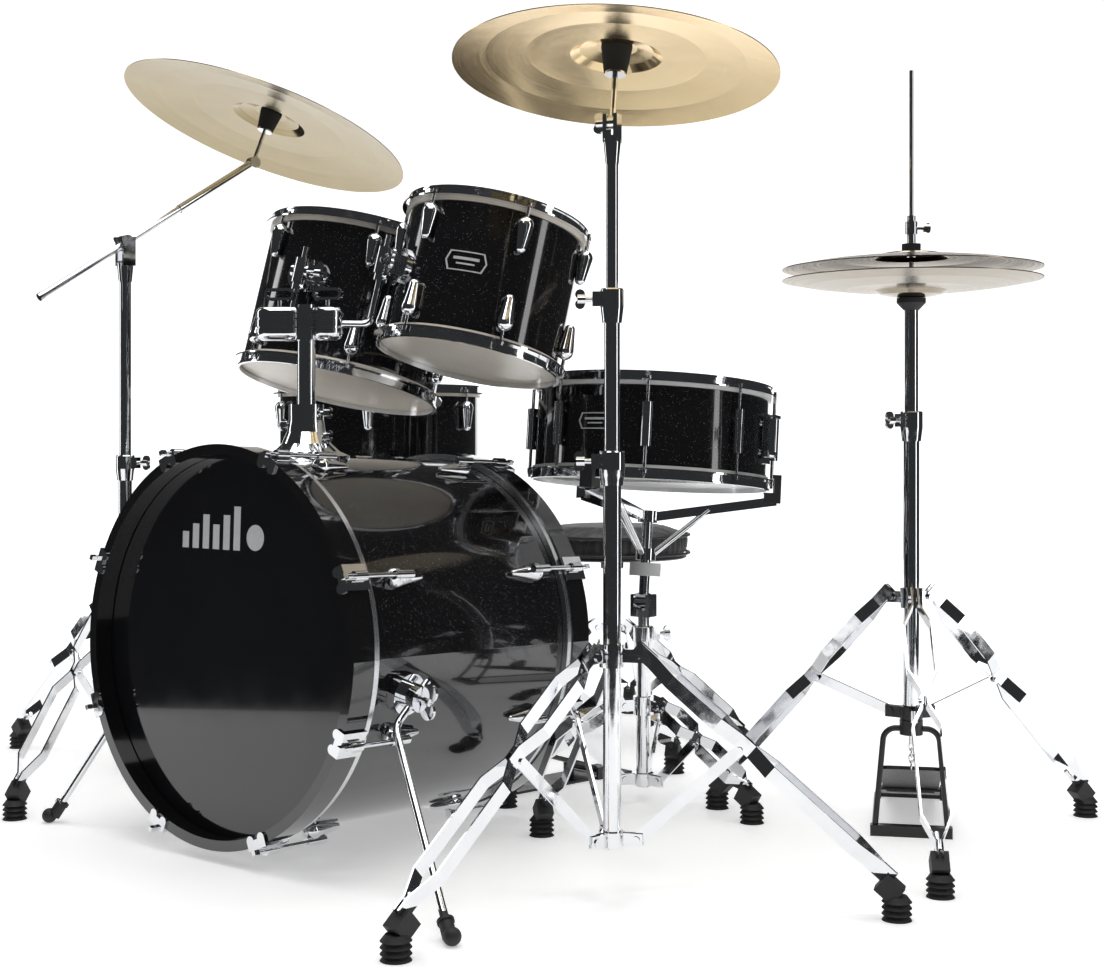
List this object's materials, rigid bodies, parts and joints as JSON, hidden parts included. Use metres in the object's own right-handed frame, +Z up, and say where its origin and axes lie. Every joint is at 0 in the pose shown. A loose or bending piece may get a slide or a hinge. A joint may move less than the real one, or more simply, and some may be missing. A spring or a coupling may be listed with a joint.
{
  "type": "acoustic drum kit",
  "caption": "Acoustic drum kit: bass drum with rack toms, floor tom, snare, crash, ride and hi-hat on folding stands, pedals and throne.",
  "frame": {"origin": "on the floor, at the middle of the kit's footprint", "axes": "+Z up, +Y from the audience towards the player, +X to the audience's right"},
  "size_m": [1.7598, 1.4816, 1.1809],
  "materials": {
    "black_shell": "high-gloss wrap",
    "black_hoop": "gloss lacquer",
    "bass_film": "gloss film",
    "drum_film": "translucent film",
    "chrome": "polished",
    "steel_wire": "bright",
    "black_steel": "satin powder coat",
    "board_metal": "cast, black coated",
    "bronze": "lathed bronze",
    "beater_felt": "pressed felt on a steel shaft",
    "seat_leather": "grained vinyl"
  },
  "bodies": {
    "kit_base": {"bass_shell": "black_shell", "bass_hoops": "black_hoop", "bass_heads": "bass_film", "bass_claws": "chrome", "bass_lugs": "chrome", "tom_holder_base": "chrome", "floor_tom_legs": "chrome", "straight_stand_base": "chrome", "boom_stand_base": "chrome", "hi_hat_base": "chrome", "pedal_frames": "black_steel", "snare_stand_base": "chrome", "throne_base": "chrome"},
    "spur_left": {"spur_left": "chrome"},
    "spur_right": {"spur_right": "chrome"},
    "tom_post": {"tom_post": "chrome"},
    "tom_arm_left": {"tom_arm_left": "chrome"},
    "tom_arm_right": {"tom_arm_right": "chrome"},
    "large_tom": {"large_tom_shell": "black_shell", "large_tom_hoops": "chrome", "large_tom_heads": "drum_film", "large_tom_lugs": "chrome"},
    "small_tom": {"small_tom_shell": "black_shell", "small_tom_hoops": "chrome", "small_tom_heads": "drum_film", "small_tom_lugs": "chrome"},
    "floor_tom": {"floor_tom_shell": "black_shell", "floor_tom_hoops": "chrome", "floor_tom_heads": "drum_film", "floor_tom_lugs": "chrome"},
    "snare_stand_tube": {"snare_stand_tube": "chrome"},
    "snare_drum": {"snare_basket": "chrome", "snare_shell": "black_shell", "snare_hoops": "chrome", "snare_heads": "drum_film", "snare_lugs": "chrome", "snare_wires": "steel_wire"},
    "snare_throw_off": {"snare_throw_off": "chrome"},
    "boom_collar": {"boom_stand_collar": "chrome"},
    "boom_leg_1": {"boom_leg_1": "chrome"},
    "boom_leg_2": {"boom_leg_2": "chrome"},
    "boom_leg_3": {"boom_leg_3": "chrome"},
    "boom_brace_1": {"boom_brace_1": "chrome"},
    "boom_brace_2": {"boom_brace_2": "chrome"},
    "boom_brace_3": {"boom_brace_3": "chrome"},
    "straight_middle_tube": {"straight_middle_tube": "chrome"},
    "straight_top_tube": {"straight_top_tube": "chrome"},
    "straight_tilter": {"straight_tilter": "chrome"},
    "crash_cymbal": {"crash_cymbal": "bronze"},
    "boom_middle_tube": {"boom_middle_tube": "chrome"},
    "boom_arm": {"boom_arm": "chrome"},
    "ride_cymbal": {"ride_cymbal": "bronze"},
    "hi_hat_tube": {"hi_hat_tube": "chrome", "hi_hat_bottom_cymbal": "bronze"},
    "hi_hat_rod": {"hi_hat_rod": "chrome", "hi_hat_top_cymbal": "bronze"},
    "hi_hat_footboard": {"hi_hat_footboard": "board_metal"},
    "bass_pedal_footboard": {"bass_pedal_footboard": "board_metal"},
    "bass_beater": {"bass_beater": "beater_felt"},
    "throne_seat": {"throne_seat": "seat_leather"}
  },
  "joints": [
    {"name": "spur_left_fold", "type": "hinge", "parent": "kit_base", "child": "spur_left", "pos_m": [-0.22542, -0.47614, 0.23116], "axis": [-0.9848, -0.0061, -0.1735], "range_deg": [-70, 0]},
    {"name": "spur_right_fold", "type": "hinge", "parent": "kit_base", "child": "spur_right", "pos_m": [0.30283, -0.47614, 0.23116], "axis": [0.9848, -0.0061, -0.1735], "range_deg": [0, 70]},
    {"name": "tom_post_height", "type": "slide", "parent": "kit_base", "child": "tom_post", "axis": [0, 0, 1], "range_m": [0, 0.04]},
    {"name": "tom_arm_left_turn", "type": "hinge", "parent": "tom_post", "child": "tom_arm_left", "pos_m": [0.0087, -0.4296, 0.711], "axis": [-0.6934, 0.7206, 0], "range_deg": [-8, 8]},
    {"name": "large_tom_swivel", "type": "hinge", "parent": "tom_arm_left", "child": "large_tom", "pos_m": [-0.0933, -0.3236, 0.711], "axis": [0.0462, 0.2495, 0.9673], "range_deg": [-4, 12]},
    {"name": "tom_arm_right_turn", "type": "hinge", "parent": "tom_post", "child": "tom_arm_right", "pos_m": [0.0667, -0.3936, 0.711], "axis": [0.6622, 0.7493, 0], "range_deg": [-8, 8]},
    {"name": "small_tom_swivel", "type": "hinge", "parent": "tom_arm_right", "child": "small_tom", "pos_m": [0.1047, -0.3506, 0.711], "axis": [0.0475, 0.2561, 0.9655], "range_deg": [-12, 4]},
    {"name": "floor_tom_height", "type": "slide", "parent": "kit_base", "child": "floor_tom", "axis": [0, 0, 1], "range_m": [-0.05, 0.04]},
    {"name": "snare_stand_height", "type": "slide", "parent": "kit_base", "child": "snare_stand_tube", "axis": [0, 0, 1], "range_m": [-0.01, 0.03]},
    {"name": "snare_basket_tilt", "type": "hinge", "parent": "snare_stand_tube", "child": "snare_drum", "pos_m": [0.2557, 0.0864, 0.304], "axis": [-0.9962, -0.0872, 0], "range_deg": [-2.5, 8]},
    {"name": "snare_throw_off_lever", "type": "hinge", "parent": "snare_drum", "child": "snare_throw_off", "pos_m": [0.45003, 0.13665, 0.52886], "axis": [-0.144, 0.9849, -0.0957], "range_deg": [0, 50]},
    {"name": "boom_tripod_fold", "type": "slide", "parent": "kit_base", "child": "boom_collar", "axis": [0, 0, 1], "range_m": [0, 0.1]},
    {"name": "boom_leg_1_fold", "type": "hinge", "parent": "boom_collar", "child": "boom_leg_1", "pos_m": [-0.50652, -0.26723, 0.293], "axis": [-0.829, 0.5592, 0], "range_deg": [-0.5, 33.13]},
    {"name": "boom_brace_1_fold", "type": "hinge", "parent": "kit_base", "child": "boom_brace_1", "pos_m": [-0.50652, -0.26723, 0.073], "axis": [-0.829, 0.5592, 0], "range_deg": [-31.71, 0.5]},
    {"name": "boom_leg_2_fold", "type": "hinge", "parent": "boom_collar", "child": "boom_leg_2", "pos_m": [-0.55323, -0.29001, 0.293], "axis": [-0.0698, -0.9976, 0], "range_deg": [-0.5, 33.13]},
    {"name": "boom_brace_2_fold", "type": "hinge", "parent": "kit_base", "child": "boom_brace_2", "pos_m": [-0.55323, -0.29001, 0.073], "axis": [-0.0698, -0.9976, 0], "range_deg": [-31.71, 0.5]},
    {"name": "boom_leg_3_fold", "type": "hinge", "parent": "boom_collar", "child": "boom_leg_3", "pos_m": [-0.51015, -0.31906, 0.293], "axis": [0.8988, 0.4384, 0], "range_deg": [-0.5, 33.13]},
    {"name": "boom_brace_3_fold", "type": "hinge", "parent": "kit_base", "child": "boom_brace_3", "pos_m": [-0.51015, -0.31906, 0.073], "axis": [0.8988, 0.4384, 0], "range_deg": [-31.71, 0.5]},
    {"name": "straight_middle_height", "type": "slide", "parent": "kit_base", "child": "straight_middle_tube", "axis": [0, 0, 1], "range_m": [-0.05, 0.1]},
    {"name": "straight_top_height", "type": "slide", "parent": "straight_middle_tube", "child": "straight_top_tube", "axis": [0, 0, 1], "range_m": [-0.04, 0.05]},
    {"name": "straight_tilter_tilt", "type": "hinge", "parent": "straight_top_tube", "child": "straight_tilter", "pos_m": [0.5557, -0.3891, 0.933], "axis": [-0.9617, -0.274, 0], "range_deg": [-30, 25]},
    {"name": "crash_spin", "type": "hinge", "parent": "straight_tilter", "child": "crash_cymbal", "pos_m": [0.55434, -0.38434, 0.96259], "axis": [-0.0452, 0.1587, 0.9863], "continuous": true},
    {"name": "boom_middle_height", "type": "slide", "parent": "kit_base", "child": "boom_middle_tube", "axis": [0, 0, 1], "range_m": [-0.04, 0.05]},
    {"name": "boom_arm_tilt", "type": "hinge", "parent": "boom_middle_tube", "child": "boom_arm", "pos_m": [-0.5233, -0.2921, 0.874], "axis": [-0.9885, 0.1513, 0], "range_deg": [-20, 12]},
    {"name": "ride_spin", "type": "hinge", "parent": "boom_arm", "child": "ride_cymbal", "pos_m": [-0.48626, -0.05003, 1.03303], "axis": [0.1215, 0.3232, 0.9385], "continuous": true},
    {"name": "hi_hat_height", "type": "slide", "parent": "kit_base", "child": "hi_hat_tube", "axis": [0, 0, 1], "range_m": [-0.02, 0.05]},
    {"name": "hi_hat_pull", "type": "slide", "parent": "hi_hat_tube", "child": "hi_hat_rod", "axis": [0, 0, 1], "range_m": [-0.012, 0], "stiffness_N_per_m": 700, "springref_m": 0.02},
    {"name": "hi_hat_pedal", "type": "hinge", "parent": "kit_base", "child": "hi_hat_footboard", "pos_m": [0.56888, 0.35151, 0.014], "axis": [0.887, 0.4617, 0], "range_deg": [0, 2.86]},
    {"name": "bass_pedal", "type": "hinge", "parent": "kit_base", "child": "bass_pedal_footboard", "pos_m": [0.07428, 0.17077, 0.014], "axis": [0.9903, -0.1392, 0], "range_deg": [0, 8]},
    {"name": "bass_beater_swing", "type": "hinge", "parent": "kit_base", "child": "bass_beater", "pos_m": [0.03851, -0.08373, 0.15], "axis": [0.9903, -0.1392, 0], "range_deg": [0, 52], "stiffness_Nm_per_rad": 0.4, "springref_deg": -22.92},
    {"name": "throne_swivel", "type": "hinge", "parent": "kit_base", "child": "throne_seat", "pos_m": [-0.0983, 0.4739, 0.333], "axis": [0, 0, 1], "continuous": true}
  ],
  "couplings": [
    {"joint": "boom_leg_1_fold", "follows": "boom_tripod_fold", "rad_per_m": 5.6948},
    {"joint": "boom_brace_1_fold", "follows": "boom_tripod_fold", "rad_per_m": -5.4476},
    {"joint": "boom_leg_2_fold", "follows": "boom_tripod_fold", "rad_per_m": 5.6948},
    {"joint": "boom_brace_2_fold", "follows": "boom_tripod_fold", "rad_per_m": -5.4476},
    {"joint": "boom_leg_3_fold", "follows": "boom_tripod_fold", "rad_per_m": 5.6948},
    {"joint": "boom_brace_3_fold", "follows": "boom_tripod_fold", "rad_per_m": -5.4476},
    {"joint": "hi_hat_pull", "follows": "hi_hat_pedal", "m_per_rad": -0.24},
    {"joint": "bass_beater_swing", "follows": "bass_pedal", "ratio": 6.5}
  ]
}
